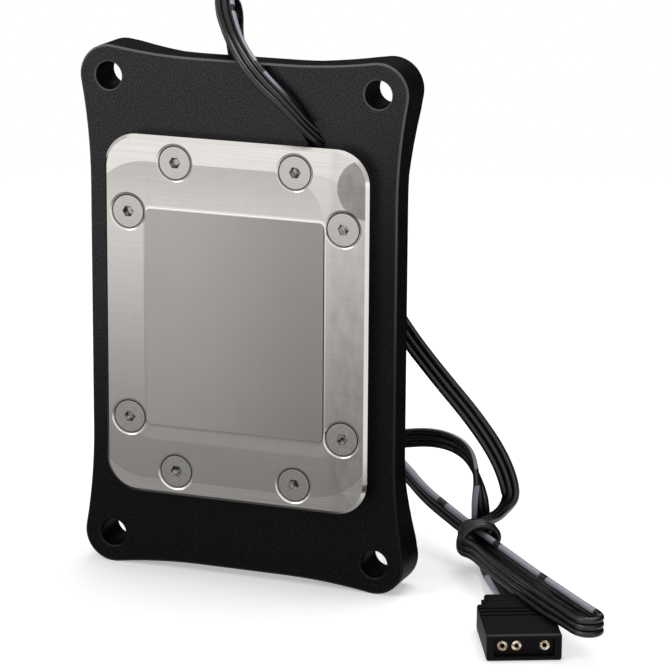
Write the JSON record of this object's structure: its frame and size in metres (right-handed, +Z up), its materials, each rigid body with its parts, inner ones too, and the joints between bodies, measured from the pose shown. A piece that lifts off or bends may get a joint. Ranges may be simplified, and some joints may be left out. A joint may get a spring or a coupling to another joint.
{
  "type": "cpu water block",
  "caption": "CPU water block: nickel plated cold plate with a raised contact patch, screwed to a waisted black frame and a clear ported cover, with a tied ribbon cable and its plug.",
  "frame": {"origin": "on the floor, under the middle of the block as it stands on its two lower ears, without the cable", "axes": "+X across the block to the right seen from the cold plate, +Y from the cold plate to the ports, +Z up"},
  "size_m": [0.1116, 0.0771, 0.1099],
  "materials": {
    "black_anodised": "satin anodised",
    "nickel": "polished nickel plate",
    "screw_steel": "plated",
    "insert_brass": "turned",
    "clear_acrylic": "polished",
    "seal_rubber": "matte",
    "jet_steel": "rolled sheet",
    "insert_plastic": "moulded",
    "board": "white solder mask",
    "led_white": "moulded",
    "capacitor": "ceramic",
    "cable_black": "extruded",
    "connector_black": "moulded",
    "contact_gold": "gold plated"
  },
  "bodies": {
    "root": {"mounting_frame": "black_anodised", "cold_plate": "nickel", "base_screws": "screw_steel", "threaded_inserts": "insert_brass", "top_cover": "clear_acrylic", "main_seal": "seal_rubber", "jet_plate": "jet_steel", "flow_insert": "insert_plastic", "led_board": "board", "led_chips": "led_white", "led_capacitors": "capacitor", "cable_lead": "cable_black", "cable_left_loop": "cable_black", "cable_right_loop": "cable_black", "cable_tail": "cable_black", "cable_knot": "cable_black", "connector_shell": "connector_black", "contact_carrier": "connector_black", "connector_contacts": "contact_gold", "key_plug": "connector_black"}
  },
  "joints": []
}
